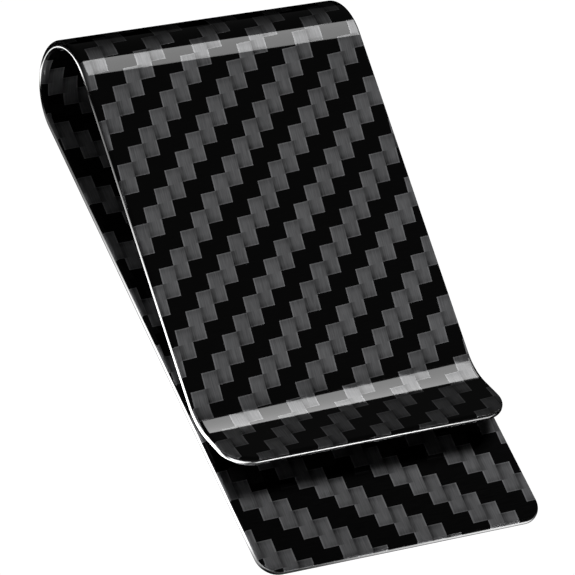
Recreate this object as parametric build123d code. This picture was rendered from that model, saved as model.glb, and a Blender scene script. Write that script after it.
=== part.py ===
from build123d import *
import math
import os

# A sprung money clip: one laminate strip that runs along a plate, round a bend
# and back down a leaf to a flared lip. It lies on its plate. +Z is up, X runs
# across the width, and Y runs from the plate's free foot to the bend. Y is
# first measured from the foot and then moved by HALF_LENGTH, so that the
# origin is the middle of the footprint. All lengths are in mm, all angles in
# degrees.

WIDTH = 35.0
PLATE_LENGTH = 60.3
BEND_RADIUS = 6.05        # to the outer face
LEAF_SLOPE = 14.39        # the leaf leans down towards the plate by this much
LEAF_LENGTH = 38.65
LIP_RADIUS = 6.6          # to the outer face, which is hollow here
LIP_SWEEP = 37.8          # the lip turns away from the plate by this much
LIP_LENGTH = 5.95         # straight end of the lip
FOOT_CORNER = 2.4
LIP_CORNER = 3.3
PLY = 0.25
PLIES = ("outer_cloth", "outer_core", "inner_core", "inner_cloth")
LOWER_FLEX = 40.0         # bend angles of the two lines where the strip flexes
UPPER_FLEX = 154.0

THICKNESS = PLY * len(PLIES)
LEAF_HEADING = 180.0 + LEAF_SLOPE
LIP_HEADING = LEAF_HEADING - LIP_SWEEP
HALF_LENGTH = (PLATE_LENGTH + BEND_RADIUS) / 2.0


def sin(angle):
    """Sine of an angle in degrees."""
    return math.sin(math.radians(angle))


def cos(angle):
    """Cosine of an angle in degrees."""
    return math.cos(math.radians(angle))


def on_foot(depth):
    """Point of the plate's free end, a depth below the strip's outer face."""
    return (-HALF_LENGTH, depth)


def on_bend(depth, angle):
    """Point of the bend at a turning angle from the plate."""
    radius = BEND_RADIUS - depth
    y = PLATE_LENGTH - HALF_LENGTH + radius * sin(angle)
    z = BEND_RADIUS - radius * cos(angle)
    return (y, z)


def on_lip(depth, angle):
    """Point of the lip's curve at a turning angle from the leaf."""
    start_y, start_z = on_bend(0.0, LEAF_HEADING)
    end_y = start_y + LEAF_LENGTH * cos(LEAF_HEADING)
    end_z = start_z + LEAF_LENGTH * sin(LEAF_HEADING)
    centre_y = end_y + LIP_RADIUS * sin(LEAF_HEADING)
    centre_z = end_z - LIP_RADIUS * cos(LEAF_HEADING)
    radius = LIP_RADIUS + depth
    heading = LEAF_HEADING - angle
    return (centre_y - radius * sin(heading), centre_z + radius * cos(heading))


def on_tip(depth):
    """Point of the lip's free end."""
    y, z = on_lip(depth, LIP_SWEEP)
    return (y + LIP_LENGTH * cos(LIP_HEADING), z + LIP_LENGTH * sin(LIP_HEADING))


def bend_arc(depth, start, end):
    """Arc of the bend between two angles."""
    middle = (start + end) / 2.0
    return ThreePointArc(on_bend(depth, start), on_bend(depth, middle), on_bend(depth, end))


def lip_arc(depth):
    """Arc of the lip's curve."""
    middle = LIP_SWEEP / 2.0
    return ThreePointArc(on_lip(depth, 0.0), on_lip(depth, middle), on_lip(depth, LIP_SWEEP))


def plate_line(depth):
    """Plate from its foot to the lower flex line, at one depth."""
    return [
        Line(on_foot(depth), on_bend(depth, 0.0)),
        bend_arc(depth, 0.0, LOWER_FLEX),
    ]


def crown_line(depth):
    """Crown of the bend between the two flex lines, at one depth."""
    return [bend_arc(depth, LOWER_FLEX, UPPER_FLEX)]


def leaf_line(depth):
    """Leaf and lip from the upper flex line to the tip, at one depth."""
    return [
        bend_arc(depth, UPPER_FLEX, LEAF_HEADING),
        Line(on_bend(depth, LEAF_HEADING), on_lip(depth, 0.0)),
        lip_arc(depth),
        Line(on_lip(depth, LIP_SWEEP), on_tip(depth)),
    ]


def sheet(line, top, bottom):
    """Solid between two depths of a line, across the whole width."""
    upper = line(top)
    lower = line(bottom)
    start = Line(upper[0] @ 0, lower[0] @ 0)
    end = Line(upper[-1] @ 1, lower[-1] @ 1)
    border = [Plane.YZ * edge for edge in (*upper, end, *lower, start)]
    return extrude(make_face(border), WIDTH / 2.0, both=True)


def near_side(edge):
    """True for an edge that lies in one of the two side faces."""
    middle = edge.position_at(0.5)
    return abs(abs(middle.X) - WIDTH / 2.0) < 1e-4


def round_corners(solid, y, z, radius):
    """Rounds the two corners of a free end whose edges pass near a point."""
    def is_corner(edge):
        middle = edge.position_at(0.5)
        close = math.hypot(middle.Y - y, middle.Z - z) < PLY * 0.6
        return near_side(edge) and close and abs(edge.length - PLY) < 1e-4
    return fillet(solid.edges().filter_by(is_corner), radius)


def make_ply(line, number):
    """One ply of one stretch of the strip, with its free corners rounded."""
    top = PLY * number
    bottom = top + PLY
    solid = sheet(line, top, bottom)
    middle = (top + bottom) / 2.0
    if line is plate_line:
        solid = round_corners(solid, *on_foot(middle), FOOT_CORNER)
    if line is leaf_line:
        solid = round_corners(solid, *on_tip(middle), LIP_CORNER)
    return solid


STRETCHES = {"plate": plate_line, "crown": crown_line, "leaf": leaf_line}

os.makedirs("parts", exist_ok=True)
for stretch, line in STRETCHES.items():
    for number, ply in enumerate(PLIES):
        shape = make_ply(line, number)
        export_step(shape, f"parts/{stretch}_{ply}.step")
        box = shape.bounding_box()
        print(stretch, ply, round(shape.volume, 2), box.min, box.max, shape.is_valid)
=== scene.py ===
"""Looks of a sprung money clip: a strip of woven carbon laminate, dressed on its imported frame."""

import logging
import math
from dataclasses import dataclass, field
from enum import Enum

import bmesh
import bpy
from mathutils import Matrix, Vector


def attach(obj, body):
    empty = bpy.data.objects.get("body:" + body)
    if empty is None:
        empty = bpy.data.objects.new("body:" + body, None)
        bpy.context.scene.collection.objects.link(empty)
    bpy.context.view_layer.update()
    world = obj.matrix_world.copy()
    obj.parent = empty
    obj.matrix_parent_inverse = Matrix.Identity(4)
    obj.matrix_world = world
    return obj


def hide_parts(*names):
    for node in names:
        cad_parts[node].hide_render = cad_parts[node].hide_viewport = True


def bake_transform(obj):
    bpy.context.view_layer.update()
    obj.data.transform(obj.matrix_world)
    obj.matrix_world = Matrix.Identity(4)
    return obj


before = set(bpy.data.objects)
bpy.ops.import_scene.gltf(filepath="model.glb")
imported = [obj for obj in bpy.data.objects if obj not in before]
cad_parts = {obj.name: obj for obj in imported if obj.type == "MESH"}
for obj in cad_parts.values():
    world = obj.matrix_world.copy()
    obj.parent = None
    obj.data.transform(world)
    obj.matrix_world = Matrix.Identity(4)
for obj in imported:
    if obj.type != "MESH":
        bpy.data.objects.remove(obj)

LOG = logging.getLogger("money_clip")
MM = 0.001
SAME_PLACE = 1e-8
NEARLY_ALL = 0.9

Fade = tuple[float, float]


class Ply(Enum):
    """The sheets of the laminate, from the strip's outer face inwards."""

    OUTER_CLOTH = 0
    OUTER_CORE = 1
    INNER_CORE = 2
    INNER_CLOTH = 3


class Stretch(Enum):
    """The lengths of the strip, from the plate's foot to the lip."""

    FOOT = "foot"
    PLATE = "plate"
    LOWER_BEND = "lower_bend"
    UPPER_BEND = "upper_bend"
    LEAF = "leaf"
    LIP = "lip"


Pieces = dict[tuple[Stretch, Ply], bpy.types.Object]


@dataclass(frozen=True)
class StripPath:
    """The line the strip follows, and how a flat strip is laid along it.

    A place on the flat strip is (across, along, depth): across from the middle line, along from
    the plate's foot on the outer face, and depth below the outer face.
    """

    width: float = 35.0 * MM
    thickness: float = 1.0 * MM
    plate_length: float = 60.3 * MM
    bend_radius: float = 6.05 * MM
    leaf_slope: float = math.radians(14.39)
    leaf_length: float = 38.65 * MM
    lip_radius: float = 6.6 * MM
    lip_sweep: float = math.radians(37.8)
    lip_length: float = 5.95 * MM

    @property
    def foot_y(self) -> float:
        """Y of the plate's free end."""
        return -(self.plate_length + self.bend_radius) / 2.0

    @property
    def bend_sweep(self) -> float:
        """Angle the strip turns through from the plate to the leaf."""
        return math.pi + self.leaf_slope

    @property
    def bend_end(self) -> float:
        """Where the bend ends and the leaf starts, along the strip."""
        return self.plate_length + self.bend_radius * self.bend_sweep

    @property
    def crown(self) -> float:
        """Middle of the bend, along the strip."""
        return self.plate_length + self.bend_radius * self.bend_sweep / 2.0

    @property
    def lip_start(self) -> float:
        """Where the lip's curve starts, along the strip."""
        return self.bend_end + self.leaf_length

    @property
    def lip_end(self) -> float:
        """Where the lip's curve ends, along the strip."""
        return self.lip_start + self.lip_radius * self.lip_sweep

    @property
    def tip(self) -> float:
        """The lip's free end, along the strip."""
        return self.lip_end + self.lip_length

    def on_bend(self, angle: float, depth: float) -> Vector:
        """Gives a point of the bend.

        Args:
            angle: how far the strip has turned since the plate.
            depth: depth below the outer face.

        Returns:
            The point, with X at 0.
        """
        radius = self.bend_radius - depth
        y = self.foot_y + self.plate_length + radius * math.sin(angle)
        return Vector((0.0, y, self.bend_radius - radius * math.cos(angle)))

    def on_lip(self, angle: float, depth: float) -> Vector:
        """Gives a point of the lip's curve.

        Args:
            angle: how far the lip has turned away from the leaf.
            depth: depth below the outer face.

        Returns:
            The point, with X at 0.
        """
        heading = self.bend_sweep
        run = Vector((0.0, math.cos(heading), math.sin(heading))) * self.leaf_length
        outward = Vector((0.0, math.sin(heading), -math.cos(heading)))
        centre = self.on_bend(heading, 0.0) + run + outward * self.lip_radius
        turned = heading - angle
        radius = self.lip_radius + depth
        return centre + Vector((0.0, -math.sin(turned), math.cos(turned))) * radius

    def place(self, flat: Vector) -> Vector:
        """Lays one point of the flat strip along the path.

        Args:
            flat: the point as (across, along, depth).

        Returns:
            The point in the clip's own frame.
        """
        across, along, depth = flat
        sideways = Vector((across, 0.0, 0.0))
        if along <= self.plate_length:
            return sideways + Vector((0.0, self.foot_y + along, depth))
        if along <= self.bend_end:
            angle = (along - self.plate_length) / self.bend_radius
            return sideways + self.on_bend(angle, depth)
        if along <= self.lip_start:
            heading = self.bend_sweep
            run = Vector((0.0, math.cos(heading), math.sin(heading)))
            return sideways + self.on_bend(heading, depth) + run * (along - self.bend_end)
        if along <= self.lip_end:
            angle = (along - self.lip_start) / self.lip_radius
            return sideways + self.on_lip(angle, depth)
        heading = self.bend_sweep - self.lip_sweep
        run = Vector((0.0, math.cos(heading), math.sin(heading)))
        return sideways + self.on_lip(self.lip_sweep, depth) + run * (along - self.lip_end)


class Recipe:
    """Writes the nodes of one material."""

    def __init__(self, name: str) -> None:
        """Starts an empty material.

        Args:
            name: the finish's name.
        """
        self.material = bpy.data.materials.new(name)
        self.material.use_nodes = True
        self.tree = self.material.node_tree
        self.tree.nodes.clear()

    def node(self, kind: str, **settings: object) -> bpy.types.Node:
        """Adds a node.

        Args:
            kind: the node's type name.
            **settings: the node's own properties.

        Returns:
            The new node.
        """
        made = self.tree.nodes.new(kind)
        for name, value in settings.items():
            setattr(made, name, value)
        return made

    def feed(self, socket: bpy.types.NodeSocket, value: object) -> None:
        """Links a socket to an output, or sets its value.

        Args:
            socket: the input to feed.
            value: an output socket, a number or a colour.
        """
        if isinstance(value, bpy.types.NodeSocket):
            self.tree.links.new(value, socket)
        else:
            socket.default_value = value

    def maths(self, operation: str, *values: object) -> bpy.types.NodeSocket:
        """Adds one Math node.

        Args:
            operation: the Math node's operation.
            *values: its inputs, as outputs or numbers.

        Returns:
            The result.
        """
        made = self.node("ShaderNodeMath", operation=operation)
        for socket, value in zip(made.inputs, values):
            self.feed(socket, value)
        return made.outputs[0]

    def ease(self, value: object, low: float, high: float) -> bpy.types.NodeSocket:
        """Rises smoothly from 0 to 1 between two values.

        Args:
            value: what is measured.
            low: where the rise starts.
            high: where it ends; below low, the result falls.

        Returns:
            The share from 0 to 1.
        """
        made = self.node("ShaderNodeMapRange", interpolation_type="SMOOTHSTEP")
        self.feed(made.inputs["Value"], value)
        if low < high:
            settings = (low, high, 0.0, 1.0)
        else:
            settings = (high, low, 1.0, 0.0)
        for name, setting in zip(("From Min", "From Max", "To Min", "To Max"), settings):
            made.inputs[name].default_value = setting
        return made.outputs[0]

    def mix(self, share: object, low: object, high: object) -> bpy.types.NodeSocket:
        """Mixes two numbers.

        Args:
            share: 0 for low and 1 for high.
            low: the first number.
            high: the second number.

        Returns:
            The mixed number.
        """
        made = self.node("ShaderNodeMix", data_type="FLOAT")
        for socket, value in zip(made.inputs[:1] + made.inputs[2:4], (share, low, high)):
            self.feed(socket, value)
        return made.outputs[0]

    def grey(self, value: object, tint: tuple[float, float, float]) -> bpy.types.NodeSocket:
        """Makes a tinted grey from a number.

        Args:
            value: the lightness.
            tint: how much of it each of red, green and blue gets.

        Returns:
            The colour.
        """
        made = self.node("ShaderNodeCombineColor")
        for socket, share in zip(made.inputs, tint):
            self.feed(socket, self.maths("MULTIPLY", value, share))
        return made.outputs[0]

    def noise(self, place: object, scale: float, detail: float = 2.0) -> bpy.types.NodeSocket:
        """Adds a noise pattern.

        Args:
            place: the coordinates it reads.
            scale: how fine it is.
            detail: how many finer layers it has.

        Returns:
            The noise, about 0 to 1.
        """
        made = self.node("ShaderNodeTexNoise")
        self.feed(made.inputs["Vector"], place)
        made.inputs["Scale"].default_value = scale
        made.inputs["Detail"].default_value = detail
        return made.outputs["Fac"]

    def place(self, x: object, y: object, z: object = 0.0) -> bpy.types.NodeSocket:
        """Joins three numbers to a place.

        Args:
            x: the first.
            y: the second.
            z: the third.

        Returns:
            The place.
        """
        made = self.node("ShaderNodeCombineXYZ")
        for socket, value in zip(made.inputs, (x, y, z)):
            self.feed(socket, value)
        return made.outputs[0]

    def bump(self, height: object, distance: float, strength: float) -> bpy.types.NodeSocket:
        """Turns a height into a normal.

        Args:
            height: the height, about 0 to 1.
            distance: how far a height of 1 stands up.
            strength: how strongly it shows.

        Returns:
            The normal.
        """
        made = self.node("ShaderNodeBump")
        made.inputs["Distance"].default_value = distance
        made.inputs["Strength"].default_value = strength
        self.feed(made.inputs["Height"], height)
        return made.outputs[0]

    def finish(self, **sockets: object) -> bpy.types.Material:
        """Ends the material with its surface shader.

        Args:
            **sockets: values for the shader's sockets, with spaces written as underscores.

        Returns:
            The material.
        """
        surface = self.node("ShaderNodeBsdfPrincipled")
        for name, value in sockets.items():
            self.feed(surface.inputs[name.replace("_", " ")], value)
        end = self.node("ShaderNodeOutputMaterial")
        self.tree.links.new(surface.outputs[0], end.inputs["Surface"])
        return self.material


@dataclass(frozen=True)
class TwillCloth:
    """A clear-coated twill of carbon tows.

    The tows that run along the strip show as grey floats, a painted sheen in their base colour
    that stands in for the light their fibres catch, and those that run across it stay black. A
    float is `over` tows long in a repeat of `repeat` tows, and each float starts one tow before
    its left neighbour's. Marks on a float are painted light: painted highlights on its open rims
    and ends, and painted shade where it dips under its neighbours and near its ends. They are
    measured in tows: each pair says where the mark starts and where it is full, and its weight
    how much it lightens the float.
    """

    name: str
    tow_across: float
    tow_along: float
    repeat: float
    over: float
    start_across: float
    start_along: float
    lean_across: float
    lean_along: float
    # grey: the lengthways tows' base colour, a painted sheen standing in for the light their fibres
    # catch; black is the tows' own colour
    grey: float
    black: float
    roughness: float = 0.45
    shine: float = 0.25
    gloss: float = 1.0
    coat_roughness: float = 0.03
    coat_ior: float = 1.5
    tint: tuple[float, float, float] = (0.985, 0.99, 1.02)
    base_light: float = 0.90
    least_light: float = 0.1
    # The marks below are painted light: painted highlights on the rims and ends, painted shade at the
    # folds and near the ends.
    rim_highlight: Fade = (0.13, 0.03)
    rim_highlight_weight: float = 0.55
    left_fold_shade: Fade = (0.55, 0.0)
    right_fold_shade: Fade = (0.6, 1.0)
    right_fold_shade_share: float = 0.3
    fold_shade_weight: float = -0.50
    end_highlight: Fade = (0.09, 0.03)
    end_highlight_weight: float = 0.35
    end_shade: Fade = (0.50, 0.08)
    end_shade_weight: float = -0.24
    tone_weight: float = 0.16
    fibres_per_tow: float = 14.0
    fibre_breaks_per_tow: float = 0.8
    fibre_detail: float = 3.0
    fibre_weight: float = 0.95
    patches_per_tow: float = 0.35
    patch_weight: float = 0.26
    dark_spread: float = 1.6
    dark_least: float = 0.2
    float_roughness: float = 0.05
    patch_roughness: float = 0.05
    fibre_height: float = 0.2
    relief: float = 0.02 * MM
    relief_strength: float = 0.3

    def counted(self, across: float, along: float) -> tuple[float, float]:
        """Counts tows to a place on the flat strip.

        Args:
            across: place from the strip's middle line.
            along: place from the plate's foot.

        Returns:
            The number of tows across and along, from the cloth's own start.
        """
        x = across - self.start_across
        y = along - self.start_along
        tows_across = (x + self.lean_across * y) / self.tow_across
        tows_along = (y + self.lean_along * x) / self.tow_along
        return tows_across, tows_along

    def material(self) -> bpy.types.Material:
        """Writes the cloth's material.

        Returns:
            The material, which reads the tow counts from the UV map named tows.
        """
        r = Recipe(self.name)
        apart = r.node("ShaderNodeSeparateXYZ")
        r.feed(apart.inputs[0], r.node("ShaderNodeUVMap", uv_map="tows").outputs[0])
        u, v = apart.outputs[0], apart.outputs[1]
        column, in_column = r.maths("FLOOR", u), r.maths("FRACT", u)
        step = r.maths("ADD", v, column)
        up = r.maths("FLOORED_MODULO", step, self.repeat)
        lengthways = r.maths("LESS_THAN", up, self.over)

        fibres = self._fibres(r, u, v, self.fibres_per_tow, self.fibre_breaks_per_tow)
        cross_fibres = self._fibres(r, u, v, self.fibre_breaks_per_tow, self.fibres_per_tow)
        patches = r.noise(r.place(u, v), self.patches_per_tow, 2.0)
        tow_tone = r.node("ShaderNodeTexWhiteNoise", noise_dimensions="2D")
        band = r.maths("FLOOR", r.maths("DIVIDE", step, self.repeat))
        r.feed(tow_tone.inputs["Vector"], r.place(column, band))

        # painted highlights and painted shade on each float
        light = self._marks(r, in_column, up)
        light = r.maths("MULTIPLY_ADD", tow_tone.outputs["Value"], self.tone_weight, light)
        for texture, weight in ((fibres, self.fibre_weight), (patches, self.patch_weight)):
            light = r.maths("MULTIPLY_ADD", r.maths("SUBTRACT", texture, 0.5), weight, light)
        light = r.maths("MAXIMUM", light, self.least_light)
        dark = r.maths("MULTIPLY_ADD", cross_fibres, self.dark_spread, self.dark_least)
        # painted sheen: the lengthways tows' grey, lightened and darkened by the painted highlights and
        # painted shade of the marks
        dark, light = r.maths("MULTIPLY", dark, self.black), r.maths("MULTIPLY", light, self.grey)

        crown = r.maths("SINE", r.maths("MULTIPLY", in_column, math.pi))
        crimp = r.maths("SINE", r.maths("MULTIPLY", r.maths("DIVIDE", up, self.over), math.pi))
        under = r.maths("MULTIPLY", cross_fibres, self.fibre_height)
        height = r.mix(lengthways, under, r.maths("ADD", crown, crimp))
        height = r.maths("MULTIPLY_ADD", fibres, self.fibre_height, height)
        smooth = r.maths("MULTIPLY_ADD", patches, self.patch_roughness, self.float_roughness)
        return r.finish(
            Base_Color=r.grey(r.mix(lengthways, dark, light), self.tint),
            Metallic=r.maths("MULTIPLY", lengthways, self.shine),
            Roughness=r.mix(lengthways, self.roughness, smooth),
            Specular_IOR_Level=0.0,
            Normal=r.bump(height, self.relief, self.relief_strength),
            Coat_Weight=self.gloss,
            Coat_Roughness=self.coat_roughness,
            Coat_IOR=self.coat_ior,
        )

    def _fibres(self, r: Recipe, u: object, v: object, across: float, along: float) -> object:
        """Draws fine fibre lines, `across` and `along` of them to a tow."""
        place = r.place(r.maths("MULTIPLY", u, across), r.maths("MULTIPLY", v, along))
        return r.noise(place, 1.0, self.fibre_detail)

    def _marks(self, r: Recipe, in_column: object, up: object) -> object:
        """Paints highlights on a float's open rims and ends, and paints shade where it dips under
        its neighbours and near its ends.

        Args:
            r: the material's recipe.
            in_column: place across the float, from 0 to 1.
            up: place along the float, in tows.

        Returns:
            The float's lightness.
        """
        open_left = r.maths("LESS_THAN", up, 1.0)
        open_right = r.maths("GREATER_THAN", up, self.over - 1.0)
        shut_left = r.maths("SUBTRACT", 1.0, open_left)
        shut_right = r.maths("SUBTRACT", 1.0, open_right)
        # painted highlights along the float's open long sides
        left_rim_highlight = r.ease(in_column, *self.rim_highlight)
        right_rim_highlight = r.ease(in_column, *(1.0 - place for place in self.rim_highlight))
        # painted shade where the float dips under a touching neighbour
        left_fold_shade = r.ease(in_column, *self.left_fold_shade)
        right_fold_shade = r.maths("MULTIPLY", r.ease(in_column, *self.right_fold_shade), self.right_fold_shade_share)
        marks = (
            (self._on_sides(r, (left_rim_highlight, open_left), (right_rim_highlight, open_right)), self.rim_highlight_weight),
            (self._on_sides(r, (left_fold_shade, shut_left), (right_fold_shade, shut_right)), self.fold_shade_weight),
            # painted highlights across both ends of the float
            (self._on_ends(r, up, self.end_highlight), self.end_highlight_weight),
            # painted shade near both ends of the float
            (self._on_ends(r, up, self.end_shade), self.end_shade_weight),
        )
        light = self.base_light
        for share, weight in marks:
            light = r.maths("MULTIPLY_ADD", share, weight, light)
        return light

    def _on_sides(self, r: Recipe, left: tuple[object, object], right: tuple[object, object]) -> object:
        """Adds a left and a right share, each where it applies."""
        return r.maths("MULTIPLY_ADD", *left, r.maths("MULTIPLY", *right))

    def _on_ends(self, r: Recipe, up: object, fade: Fade) -> object:
        """Adds the same fade at both ends of a float."""
        return r.maths("ADD", r.ease(up, *fade), r.ease(up, *(self.over - place for place in fade)))


@dataclass(frozen=True)
class CoreResin:
    """Black carbon plies in resin, seen only as polished edges."""

    name: str
    black: float = 0.006
    tint: tuple[float, float, float] = (1.0, 1.0, 1.03)
    roughness: float = 0.13
    speck_roughness: float = 0.18
    lines_per_tow: float = 3.0
    line_breaks_per_tow: float = 0.2
    line_detail: float = 4.0
    line_spread: float = 1.1
    line_least: float = 0.45
    specks_per_metre: float = 3500.0
    speck_detail: float = 3.0
    speck_height: float = 0.4
    relief: float = 0.01 * MM
    relief_strength: float = 0.25
    coat_roughness: float = 0.03
    coat_ior: float = 1.5

    def material(self) -> bpy.types.Material:
        """Writes the core's material.

        Returns:
            The material, with fine lines along the plies.
        """
        r = Recipe(self.name)
        apart = r.node("ShaderNodeSeparateXYZ")
        r.feed(apart.inputs[0], r.node("ShaderNodeUVMap", uv_map="tows").outputs[0])
        along = r.maths("MULTIPLY", apart.outputs[1], self.lines_per_tow)
        across = r.maths("MULTIPLY", apart.outputs[0], self.line_breaks_per_tow)
        lines = r.noise(r.place(along, across), 1.0, self.line_detail)
        place = r.node("ShaderNodeTexCoord").outputs["Object"]
        specks = r.noise(place, self.specks_per_metre, self.speck_detail)
        value = r.maths("MULTIPLY_ADD", lines, self.line_spread, self.line_least)
        value = r.maths("MULTIPLY", value, self.black)
        height = r.maths("ADD", lines, r.maths("MULTIPLY", specks, self.speck_height))
        return r.finish(
            Base_Color=r.grey(value, self.tint),
            Roughness=r.maths("MULTIPLY_ADD", specks, self.speck_roughness, self.roughness),
            Normal=r.bump(height, self.relief, self.relief_strength),
            Coat_Weight=1.0,
            Coat_Roughness=self.coat_roughness,
            Coat_IOR=self.coat_ior,
        )


@dataclass
class Laminate:
    """The strip's four plies, each cut into stretches and laid along the path."""

    path: StripPath = field(default_factory=StripPath)
    ply: float = 0.25 * MM
    foot_corner: float = 2.4 * MM
    lip_corner: float = 3.3 * MM
    edge_round: float = 0.42 * MM
    edge_steps: int = 8
    corner_steps: int = 14
    flat_margin: float = 0.05 * MM
    sharp_turn: float = math.radians(30.0)
    turn_step: float = math.radians(1.0)
    straight_step: float = 4.0 * MM
    past_bend: float = 0.35 * MM
    foot_length: float = 15.0 * MM

    def flat_slab(self) -> bmesh.types.BMesh:
        """Makes the whole strip flat, with round corners and polished edges.

        Returns:
            A closed slab, X across, Y along from the foot and Z the depth below the outer face.
        """
        p = self.path
        bm = bmesh.new()
        bmesh.ops.create_cube(bm, size=1.0)
        middle = Vector((0.0, p.tip / 2.0, p.thickness / 2.0))
        size = Matrix.Diagonal((p.width, p.tip, p.thickness, 1.0))
        bmesh.ops.transform(bm, matrix=Matrix.Translation(middle) @ size, verts=bm.verts)
        for at_tip, radius in ((False, self.foot_corner), (True, self.lip_corner)):
            upright = [e for e in bm.edges if self._upright(e)]
            corners = [e for e in upright if (e.verts[0].co.y > p.tip / 2.0) == at_tip]
            self._round_off(bm, corners, radius, self.corner_steps)
        broad = [f for f in bm.faces if abs(f.normal.z) > NEARLY_ALL]
        bmesh.ops.inset_individual(bm, faces=broad, thickness=self.edge_round + self.flat_margin)
        rims = [e for e in bm.edges if self._on_rim(e)]
        self._round_off(bm, rims, self.edge_round, self.edge_steps)
        bmesh.ops.recalc_face_normals(bm, faces=bm.faces)
        return bm

    def _round_off(
        self, bm: bmesh.types.BMesh, edges: list[bmesh.types.BMEdge], radius: float, steps: int
    ) -> None:
        """Rounds edges off with a true arc.

        Args:
            bm: the slab.
            edges: its edges to round.
            radius: the arc's radius.
            steps: how many faces the arc has.
        """
        bmesh.ops.bevel(
            bm, geom=edges, offset=radius, segments=steps, profile=0.5, affect="EDGES", material=-1
        )

    def _upright(self, edge: bmesh.types.BMEdge) -> bool:
        """Tells an edge through the thickness from the others."""
        a, b = (v.co for v in edge.verts)
        return abs(a.z - b.z) > self.path.thickness * NEARLY_ALL

    def _on_rim(self, edge: bmesh.types.BMEdge) -> bool:
        """Tells the outline of a broad face from its inset."""
        a, b = edge.link_faces[0].normal, edge.link_faces[-1].normal
        return abs(abs(a.z) - abs(b.z)) > NEARLY_ALL

    def stations(self) -> list[float]:
        """Lists where the flat strip is cut so that it can turn.

        Returns:
            Places along the strip, close together on the bend and the lip.
        """
        p = self.path
        bend = (p.plate_length, p.bend_radius, p.bend_sweep)
        lip = (p.lip_start, p.lip_radius, p.lip_sweep)
        found = []
        for start, radius, sweep in (bend, lip):
            steps = 2 * round(sweep / self.turn_step / 2.0)
            found += [start + radius * sweep * i / steps for i in range(steps + 1)]
        runs = ((0.0, p.plate_length), (p.bend_end, p.lip_start), (p.lip_end, p.tip))
        for start, end in runs:
            steps = max(2, round((end - start) / self.straight_step))
            found += [start + (end - start) * i / steps for i in range(1, steps)]
        return sorted(found)

    def keep_between(self, bm: bmesh.types.BMesh, axis: Vector, low: float, high: float) -> None:
        """Cuts a closed slab down to what lies between two planes and closes the cuts.

        Args:
            bm: the slab.
            axis: the planes' normal, along a flat axis.
            low: where the first plane lies.
            high: where the second lies.
        """
        for place, away in ((low, -1.0), (high, 1.0)):
            cut = bmesh.ops.bisect_plane(
                bm,
                geom=bm.verts[:] + bm.edges[:] + bm.faces[:],
                dist=SAME_PLACE,
                plane_co=axis * place,
                plane_no=axis * away,
                clear_outer=True,
            )
            edges = [e for e in cut["geom_cut"] if isinstance(e, bmesh.types.BMEdge)]
            rim_highlight = [e for e in edges if e.is_boundary]
            if rim_highlight:
                bmesh.ops.edgeloop_fill(bm, edges=rim_highlight)

    def slice_along(self, bm: bmesh.types.BMesh, start: float, end: float) -> None:
        """Cuts loops across a flat ply, without parting it.

        Args:
            bm: the ply.
            start: where the stretch starts.
            end: where it ends.
        """
        for place in self.stations():
            if start + 10.0 * SAME_PLACE < place < end - 10.0 * SAME_PLACE:
                bmesh.ops.bisect_plane(
                    bm,
                    geom=bm.verts[:] + bm.edges[:] + bm.faces[:],
                    dist=SAME_PLACE / 10.0,
                    plane_co=(0.0, place, 0.0),
                    plane_no=(0.0, 1.0, 0.0),
                )

    def reach(self, stretch: Stretch) -> tuple[float, float]:
        """Gives where a stretch starts and ends.

        Args:
            stretch: which stretch.

        Returns:
            The two places along the strip.
        """
        p = self.path
        ends = {
            Stretch.FOOT: (0.0, self.foot_length),
            Stretch.PLATE: (self.foot_length, p.plate_length),
            Stretch.LOWER_BEND: (p.plate_length, p.crown),
            Stretch.UPPER_BEND: (p.crown, p.bend_end + self.past_bend),
            Stretch.LEAF: (p.bend_end + self.past_bend, p.lip_end),
            Stretch.LIP: (p.lip_end, p.tip),
        }
        return ends[stretch]

    def build(
        self, slab: bmesh.types.BMesh, ply: Ply, stretch: Stretch, cloth: TwillCloth
    ) -> bpy.types.Object:
        """Builds one ply of one stretch.

        Args:
            slab: the whole flat strip, which is left as it is.
            ply: which sheet.
            stretch: which length of the strip.
            cloth: the cloth whose tows the UV map counts.

        Returns:
            The finished piece, at the origin with its place in its mesh.
        """
        bm = slab.copy()
        depth = self.ply * ply.value
        start, end = self.reach(stretch)
        self.keep_between(bm, Vector((0.0, 0.0, 1.0)), depth, depth + self.ply)
        self.keep_between(bm, Vector((0.0, 1.0, 0.0)), start, end)
        self.slice_along(bm, start, end)
        bmesh.ops.remove_doubles(bm, verts=bm.verts, dist=SAME_PLACE)
        bmesh.ops.recalc_face_normals(bm, faces=bm.faces)
        tows = bm.loops.layers.uv.new("tows")
        for face in bm.faces:
            face.smooth = True
            for loop in face.loops:
                across, along, _ = loop.vert.co
                loop[tows].uv = cloth.counted(across, along)
        for edge in bm.edges:
            turn = edge.calc_face_angle(0.0) if edge.is_manifold else 0.0
            edge.smooth = turn < self.sharp_turn
        for vert in bm.verts:
            vert.co = self.path.place(vert.co)
        bmesh.ops.recalc_face_normals(bm, faces=bm.faces)
        name = f"{stretch.value}_{ply.name.lower()}_sheet"
        mesh = bpy.data.meshes.new(name)
        bm.to_mesh(mesh)
        bm.free()
        piece = bpy.data.objects.new(name, mesh)
        bpy.context.scene.collection.objects.link(piece)
        return piece


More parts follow.
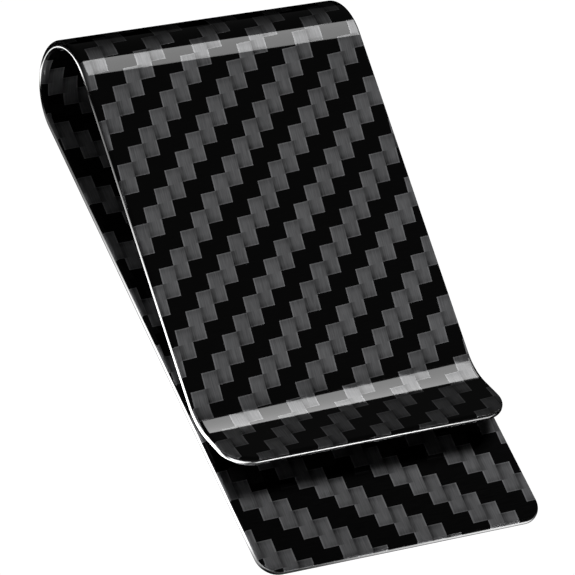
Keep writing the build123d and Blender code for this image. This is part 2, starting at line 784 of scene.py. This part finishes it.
@dataclass
class MoneyClip:
    """The whole clip: its laminate, its finishes and how its pieces ride."""

    laminate: Laminate = field(default_factory=Laminate)
    outer: TwillCloth = TwillCloth(
        name="outer_twill",
        tow_across=1.803 * MM,
        tow_along=1.769 * MM,
        repeat=4.0,
        over=1.96,
        start_across=-12.73 * MM,
        start_along=80.96 * MM,
        lean_across=0.069,
        lean_along=0.063,
        # painted sheen of the outer face's lengthways tows
        grey=0.133,
        black=0.0010,
    )
    inner: TwillCloth = TwillCloth(
        name="inner_twill",
        tow_across=1.835 * MM,
        tow_along=1.619 * MM,
        repeat=4.675,
        over=2.26,
        start_across=-17.01 * MM,
        start_along=0.355 * MM,
        lean_across=-0.060,
        lean_along=-0.024,
        # painted sheen of the inner face's lengthways tows
        grey=0.110,
        gloss=0.25,
        black=0.0020,
    )
    core: CoreResin = CoreResin(name="core")
    blend_reach: float = 5.0 * MM

    def dress(self) -> Pieces:
        """Builds every piece, gives it its finish and rides the plate and leaf pieces on their bodies.

        Returns:
            The pieces by stretch and ply.
        """
        pieces: Pieces = {}
        core = self.core.material()
        finishes = {
            Ply.OUTER_CLOTH: ("outer_twill", self.outer.material()),
            Ply.OUTER_CORE: ("core", core),
            Ply.INNER_CORE: ("core", core),
            Ply.INNER_CLOTH: ("inner_twill", self.inner.material()),
        }
        slab = self.laminate.flat_slab()
        for stretch in Stretch:
            for ply in Ply:
                cloth = self.inner if ply is Ply.INNER_CLOTH else self.outer
                piece = self.laminate.build(slab, ply, stretch, cloth)
                slot, material = finishes[ply]
                piece.data.materials.append(material)
                self.ride(piece, ply, stretch)
                pieces[stretch, ply] = piece
                LOG.info("%s: %d faces", piece.name, len(piece.data.polygons))
        slab.free()
        return pieces

    def ride(self, piece: bpy.types.Object, ply: Ply, stretch: Stretch) -> None:
        """Hides the imported part a piece stands for and rides plate and leaf pieces on their
        bodies; a bend piece is only baked in place.

        Args:
            piece: the piece.
            ply: its sheet.
            stretch: its length of the strip.
        """
        path = self.laminate.path
        sheet = ply.name.lower()
        if stretch in (Stretch.FOOT, Stretch.PLATE):
            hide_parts(f"plate_{sheet}")
            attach(piece, "plate")
        elif stretch in (Stretch.LEAF, Stretch.LIP):
            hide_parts(f"leaf_{sheet}")
            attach(piece, "leaf")
        elif stretch is Stretch.LOWER_BEND:
            start = path.place(Vector((0.0, path.plate_length, 0.0)))
            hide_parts(f"crown_{sheet}")
            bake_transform(piece)
        else:
            end = path.place(Vector((0.0, path.bend_end, 0.0)))
            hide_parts(f"crown_{sheet}")
            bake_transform(piece)


@dataclass(frozen=True)
class SoftPanel:
    """A softbox that lights the clip, or only some plies of some stretches.

    Azimuth 0 is straight before the clip's foot and 90 is on its right. A panel that isn't
    mirrored lights the clip but doesn't show in its gloss, and one that isn't spread is the other
    way round.
    """

    name: str
    azimuth: float
    elevation: float
    distance: float
    width: float
    height: float
    radiance: float
    roll: float = 0.0
    tilt: float = 0.0
    mirrored: bool = True
    spread: bool = True
    lit: tuple[Stretch, ...] = ()
    plies: tuple[Ply, ...] = tuple(Ply)

    def hang(self, pieces: Pieces) -> bpy.types.Object:
        """Hangs the panel, facing the clip and then rolled and tilted.

        Args:
            pieces: the clip's pieces. A panel with lit stretches lights only their plies.

        Returns:
            The light.
        """
        a, e = math.radians(self.azimuth), math.radians(self.elevation)
        back = Vector((math.sin(a) * math.cos(e), -math.cos(a) * math.cos(e), math.sin(e)))
        lamp = bpy.data.lights.new(self.name, "AREA")
        lamp.shape = "RECTANGLE"
        lamp.size, lamp.size_y = self.width, self.height
        lamp.energy = self.radiance * math.pi * self.width * self.height
        panel = bpy.data.objects.new(self.name, lamp)
        panel.location = back * self.distance
        turn = (-back).to_track_quat("-Z", "Y").to_matrix().to_4x4()
        turn = turn @ Matrix.Rotation(math.radians(self.roll), 4, "Z")
        turn = turn @ Matrix.Rotation(math.radians(self.tilt), 4, "Y")
        panel.rotation_euler = turn.to_euler()
        panel.visible_camera = False
        panel.visible_glossy = self.mirrored
        panel.visible_diffuse = self.spread
        bpy.context.scene.collection.objects.link(panel)
        if self.lit:
            receivers = bpy.data.collections.new(f"{self.name}_receivers")
            for stretch in self.lit:
                for ply in self.plies:
                    receivers.objects.link(pieces[stretch, ply])
            panel.light_linking.receiver_collection = receivers
        return panel


@dataclass(frozen=True)
class WhiteTable:
    """A table top that looks plain white and lights the clip's polished edges from below.

    The glow shows only in what it lights. Its patches lie along the clip's left side, behind its
    bend and before its foot, and each pair of places says where a patch starts and is full.
    """

    size: float = 3.0
    drop: float = 0.05 * MM
    white: float = 1.05
    roughness: float = 0.9
    glow: float = 16.0
    side_slant: float = 0.2
    side_limit: Fade = (-27.0 * MM, -24.0 * MM)
    lip_limit: Fade = (-33.0 * MM, -30.0 * MM)
    lip_reach: Fade = (-20.0 * MM, -26.0 * MM)
    beside_clip: Fade = (-17.5 * MM, -18.0 * MM)
    beside_rise: Fade = (24.0 * MM, -24.0 * MM)
    beside_least: float = 0.06
    beside_reach: Fade = (31.0 * MM, 28.0 * MM)
    behind_start: Fade = (32.5 * MM, 34.0 * MM)
    behind_end: Fade = (36.2 * MM, 35.2 * MM)
    behind_side: Fade = (-18.0 * MM, -19.5 * MM)
    behind_share: float = 0.4
    foot_start: Fade = (-33.2 * MM, -33.8 * MM)
    foot_rise: Fade = (-15.0 * MM, 15.0 * MM)
    foot_least: float = 0.12
    foot_gain: float = 0.22
    ahead_start: Fade = (-36.0 * MM, -41.0 * MM)
    ahead_side: Fade = (27.0 * MM, 20.0 * MM)
    ahead_share: float = 0.9
    ray_limit: Fade = (36.0 * MM, 28.0 * MM)
    corner_left: Fade = (-23.0 * MM, -20.0 * MM)
    corner_right: Fade = (-3.0 * MM, -14.0 * MM)
    corner_reach: Fade = (-26.0 * MM, -31.0 * MM)
    corner_cut: float = 0.85

    def material(self) -> bpy.types.Material:
        """Writes the table's material.

        Returns:
            The material, white to look at, with its patches of glow.
        """
        r = Recipe("table_white")
        apart = r.node("ShaderNodeSeparateXYZ")
        r.feed(apart.inputs[0], r.node("ShaderNodeTexCoord").outputs["Object"])
        x, y = apart.outputs[0], apart.outputs[1]
        ray = r.node("ShaderNodeLightPath")
        before = self._before(r, x, y, ray.outputs["Ray Length"])
        share = r.maths("MAXIMUM", self._along_side(r, x, y), before)
        corner = self._within(r, (x, self.corner_left), (x, self.corner_right), (y, self.corner_reach))
        share = r.maths("MULTIPLY", share, r.maths("MULTIPLY_ADD", corner, -self.corner_cut, 1.0))
        share = r.maths("MULTIPLY", share, self.glow)
        return r.finish(
            Base_Color=(0.0, 0.0, 0.0, 1.0),
            Roughness=self.roughness,
            Specular_IOR_Level=0.0,
            Emission_Color=(1.0, 1.0, 1.0, 1.0),
            Emission_Strength=r.mix(ray.outputs["Is Camera Ray"], share, self.white),
        )

    def _within(self, r: Recipe, *fades: tuple[object, Fade]) -> object:
        """Multiplies fades.

        Args:
            r: the material's recipe.
            *fades: what each fade measures, and where it starts and is full.

        Returns:
            The share, 1 only where every fade is full.
        """
        share = 1.0
        for measured, fade in fades:
            share = r.maths("MULTIPLY", share, r.ease(measured, *fade))
        return share

    def _along_side(self, r: Recipe, x: object, y: object) -> object:
        """Lights the clip's left side, from the lip to just behind the bend.

        Args:
            r: the material's recipe.
            x: place across the table.
            y: place along the table.

        Returns:
            The patch's share of the glow.
        """
        near = r.ease(r.maths("MULTIPLY_ADD", y, self.side_slant, x), *self.side_limit)
        near = r.maths("MAXIMUM", near, self._within(r, (x, self.lip_limit), (y, self.lip_reach)))
        rise = r.ease(y, *self.beside_rise)
        rise = r.maths("MULTIPLY_ADD", rise, 1.0 - self.beside_least, self.beside_least)
        beside = self._within(r, (x, self.beside_clip), (y, self.beside_reach))
        behind = self._within(r, (y, self.behind_start), (y, self.behind_end), (x, self.behind_side))
        behind = r.maths("MULTIPLY", behind, self.behind_share)
        both = r.maths("MAXIMUM", r.maths("MULTIPLY", rise, beside), behind)
        return r.maths("MULTIPLY", near, both)

    def _before(self, r: Recipe, x: object, y: object, ray_length: object) -> object:
        """Lights the foot and the lip from before the clip, for edges close to the table.

        Args:
            r: the material's recipe.
            x: place across the table.
            y: place along the table.
            ray_length: how far the light travels from table to clip.

        Returns:
            The patch's share of the glow.
        """
        rise = r.maths("MULTIPLY_ADD", r.ease(x, *self.foot_rise), self.foot_gain, self.foot_least)
        at_foot = r.maths("MULTIPLY", rise, r.ease(y, *self.foot_start))
        ahead = self._within(r, (y, self.ahead_start), (x, self.ahead_side))
        before = r.maths("MULTIPLY_ADD", ahead, self.ahead_share, at_foot)
        return r.maths("MULTIPLY", before, r.ease(ray_length, *self.ray_limit))

    def lay(self) -> bpy.types.Object:
        """Lays the table under the clip.

        Returns:
            The table.
        """
        bm = bmesh.new()
        bmesh.ops.create_grid(bm, x_segments=1, y_segments=1, size=self.size / 2.0)
        bmesh.ops.translate(bm, verts=bm.verts, vec=(0.0, 0.0, -self.drop))
        mesh = bpy.data.meshes.new("table")
        bm.to_mesh(mesh)
        bm.free()
        mesh.materials.append(self.material())
        table = bpy.data.objects.new("table", mesh)
        bpy.context.scene.collection.objects.link(table)
        return table


@dataclass
class Studio:
    """A white table, soft panels and the camera."""

    table: WhiteTable = WhiteTable()
    surround: float = 0.05
    seen_surround: float = 1.0
    azimuth: float = -46.47
    elevation: float = 48.64
    roll: float = 28.27
    distance: float = 546.3 * MM
    target: tuple[float, float, float] = (-6.51 * MM, -5.89 * MM, 12.39 * MM)
    lens: float = 321.27
    clip_start: float = 0.01
    clip_end: float = 10.0
    panels: tuple[SoftPanel, ...] = (
        SoftPanel(
            "front_key",
            azimuth=20.0,
            elevation=21.0,
            distance=0.75,
            width=0.55,
            height=0.26,
            radiance=19.0,
            mirrored=False,
            lit=(Stretch.LOWER_BEND, Stretch.UPPER_BEND, Stretch.LEAF),
            plies=(Ply.OUTER_CLOTH, Ply.OUTER_CORE),
        ),
        SoftPanel(
            "lip_fill",
            azimuth=-80.0,
            elevation=62.0,
            distance=0.09,
            width=0.05,
            height=0.05,
            radiance=1.9,
            mirrored=False,
            lit=(Stretch.LIP,),
            plies=(Ply.OUTER_CLOTH,),
        ),
        SoftPanel(
            "foot_key",
            azimuth=118.0,
            elevation=60.0,
            distance=0.09,
            width=0.03,
            height=0.03,
            radiance=41.0,
            mirrored=False,
            lit=(Stretch.FOOT,),
        ),
        SoftPanel(
            "left_fill",
            azimuth=-80.0,
            elevation=33.0,
            distance=0.075,
            width=0.03,
            height=0.03,
            radiance=2.4,
            mirrored=False,
            lit=(Stretch.PLATE,),
            plies=(Ply.INNER_CLOTH,),
        ),
        SoftPanel(
            "loop_fill",
            azimuth=-80.0,
            elevation=33.0,
            distance=0.075,
            width=0.03,
            height=0.03,
            radiance=1.1,
            mirrored=False,
            lit=(Stretch.LOWER_BEND, Stretch.UPPER_BEND),
            plies=(Ply.INNER_CLOTH,),
        ),
        SoftPanel(
            "bend_strip",
            azimuth=125.0,
            elevation=54.95,
            distance=0.60,
            width=0.50,
            height=0.261,
            radiance=4.4,
            roll=-116.8,
            tilt=21.0,
            spread=False,
            lit=(Stretch.LOWER_BEND, Stretch.UPPER_BEND),
        ),
        SoftPanel(
            "lip_strip",
            azimuth=139.5,
            elevation=36.3,
            distance=0.40,
            width=0.56,
            height=0.101,
            radiance=4.6,
            roll=-40.4,
            tilt=25.8,
            spread=False,
            lit=(Stretch.LEAF,),
            plies=(Ply.OUTER_CLOTH,),
        ),
    )

    def set_world(self) -> None:
        """Makes the surround white to look at and dim as a light."""
        world = bpy.data.worlds.new("surround")
        bpy.context.scene.world = world
        world.use_nodes = True
        tree = world.node_tree
        tree.nodes.clear()
        path = tree.nodes.new("ShaderNodeLightPath")
        level = tree.nodes.new("ShaderNodeMix")
        level.inputs[2].default_value = self.surround
        level.inputs[3].default_value = self.seen_surround
        glow = tree.nodes.new("ShaderNodeBackground")
        end = tree.nodes.new("ShaderNodeOutputWorld")
        tree.links.new(path.outputs["Is Camera Ray"], level.inputs[0])
        tree.links.new(level.outputs[0], glow.inputs["Strength"])
        tree.links.new(glow.outputs[0], end.inputs["Surface"])

    def set_camera(self) -> bpy.types.Object:
        """Sets the camera on its stand.

        Returns:
            The camera.
        """
        a, e = math.radians(self.azimuth), math.radians(self.elevation)
        back = Vector((math.sin(a) * math.cos(e), -math.cos(a) * math.cos(e), math.sin(e)))
        camera = bpy.data.cameras.new("camera")
        camera.lens = self.lens
        camera.clip_start, camera.clip_end = self.clip_start, self.clip_end
        stand = bpy.data.objects.new("camera", camera)
        stand.location = Vector(self.target) + back * self.distance
        turn = (-back).to_track_quat("-Z", "Y").to_matrix().to_4x4()
        turn = turn @ Matrix.Rotation(math.radians(self.roll), 4, "Z")
        stand.rotation_euler = turn.to_euler()
        bpy.context.scene.collection.objects.link(stand)
        bpy.context.scene.camera = stand
        return stand

    def set_up(self, pieces: Pieces) -> None:
        """Sets the table, the surround, the panels and the camera.

        Args:
            pieces: the clip's pieces.
        """
        self.table.lay()
        self.set_world()
        for panel in self.panels:
            panel.hang(pieces)
        self.set_camera()
        bpy.context.scene.view_settings.view_transform = "Standard"


def main() -> None:
    """Builds the clip and its studio."""
    logging.basicConfig(level=logging.INFO, format="%(name)s %(message)s")
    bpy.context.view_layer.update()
    pieces = MoneyClip().dress()
    Studio().set_up(pieces)


if __name__ == "__main__":
    main()
